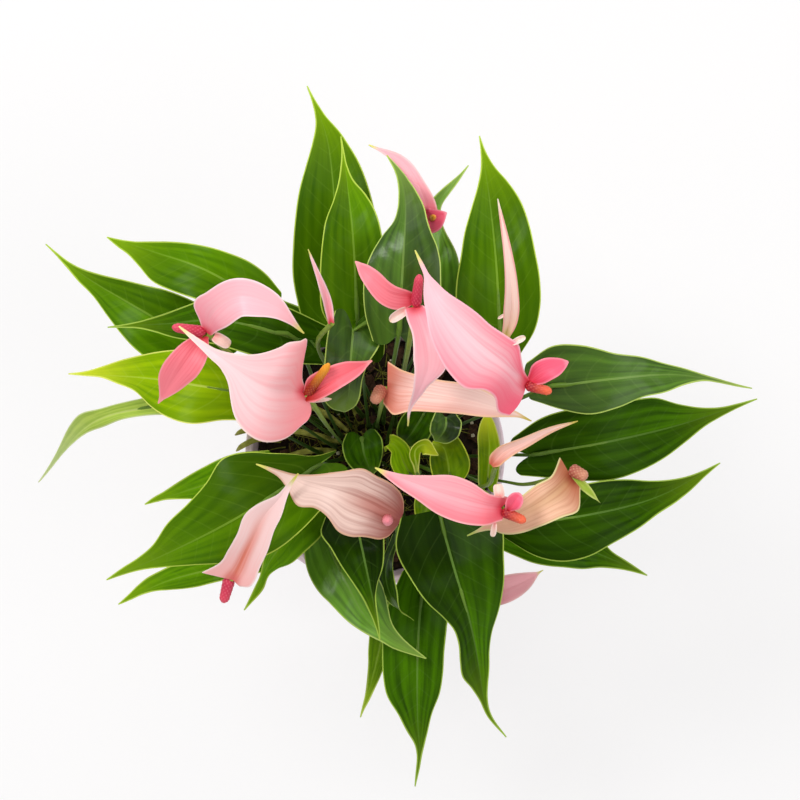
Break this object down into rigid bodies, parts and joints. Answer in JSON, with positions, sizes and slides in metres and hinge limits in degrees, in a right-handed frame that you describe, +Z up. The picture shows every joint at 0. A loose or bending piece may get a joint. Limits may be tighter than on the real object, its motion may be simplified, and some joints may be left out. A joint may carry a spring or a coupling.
{
  "type": "potted anthurium",
  "caption": "Potted flamingo flower plant: glossy pointed leaves and pink spathes on thin stalks, growing from soil in a round tapered pot.",
  "frame": {"origin": "centre of the pot's flat foot, on the surface the pot stands on", "axes": "+Z up along the pot's axis; +X to the right and +Y away as the plant is seen from straight above"},
  "size_m": [0.3547, 0.3406, 0.33],
  "materials": {
    "leaf_green": "satin",
    "leaf_dark": "satin",
    "leaf_light": "satin",
    "leaf_lime": "satin",
    "leaf_young": "satin",
    "flower_stem": "satin",
    "spathe_pink": "satin",
    "spathe_pale": "satin",
    "spathe_salmon": "satin",
    "spathe_olive": "satin",
    "potting_mix": "matte",
    "pot_glaze": "gloss"
  },
  "bodies": {
    "root": {"bud_east": "spathe_salmon", "bud_north": "spathe_pale", "bud_northwest": "spathe_pink", "flower_big_east_spathe": "spathe_pink", "flower_big_east_stem": "flower_stem", "flower_big_west_spathe": "spathe_pale", "flower_big_west_stem": "flower_stem", "flower_east_spathe": "spathe_pink", "flower_east_stem": "flower_stem", "flower_hidden": "spathe_pink", "flower_north_spathe": "spathe_pink", "flower_north_stem": "flower_stem", "flower_olive_spathe": "spathe_olive", "flower_olive_stem": "flower_stem", "flower_salmon_spathe": "spathe_salmon", "flower_salmon_stem": "flower_stem", "flower_south_spathe": "spathe_pale", "flower_south_stem": "flower_stem", "flower_southwest_spathe": "spathe_pink", "flower_southwest_stem": "flower_stem", "flower_top_spathe": "spathe_pink", "flower_top_stem": "flower_stem", "flower_west_spathe": "spathe_pink", "flower_west_stem": "flower_stem", "leaf_east_lower": "leaf_green", "leaf_east_lowest": "leaf_dark", "leaf_east_middle": "leaf_dark", "leaf_east_upper": "leaf_green", "leaf_far_west": "leaf_light", "leaf_inner_glossy": "leaf_dark", "leaf_inner_heart": "leaf_dark", "leaf_inner_lime": "leaf_lime", "leaf_inner_round": "leaf_dark", "leaf_inner_small": "leaf_dark", "leaf_north_dark": "leaf_dark", "leaf_north_edge": "leaf_dark", "leaf_north_pale": "leaf_green", "leaf_north_tall": "leaf_green", "leaf_northeast": "leaf_green", "leaf_northwest_high": "leaf_green", "leaf_northwest_inner": "leaf_dark", "leaf_northwest_low": "leaf_green", "leaf_south_behind": "leaf_light", "leaf_south_dark": "leaf_dark", "leaf_south_large": "leaf_dark", "leaf_south_low": "leaf_green", "leaf_south_narrow": "leaf_dark", "leaf_southwest_folded": "leaf_green", "leaf_southwest_glossy": "leaf_dark", "leaf_west_behind": "leaf_green", "leaf_west_large": "leaf_green", "leaf_west_lime": "leaf_lime", "leaf_west_under": "leaf_light", "leaf_west_upper": "leaf_dark", "leaf_young_broad": "leaf_young", "leaf_young_curled": "leaf_young", "leaf_young_folded": "leaf_young", "leaf_young_under": "leaf_young", "pot": "pot_glaze", "soil": "potting_mix"}
  },
  "joints": []
}
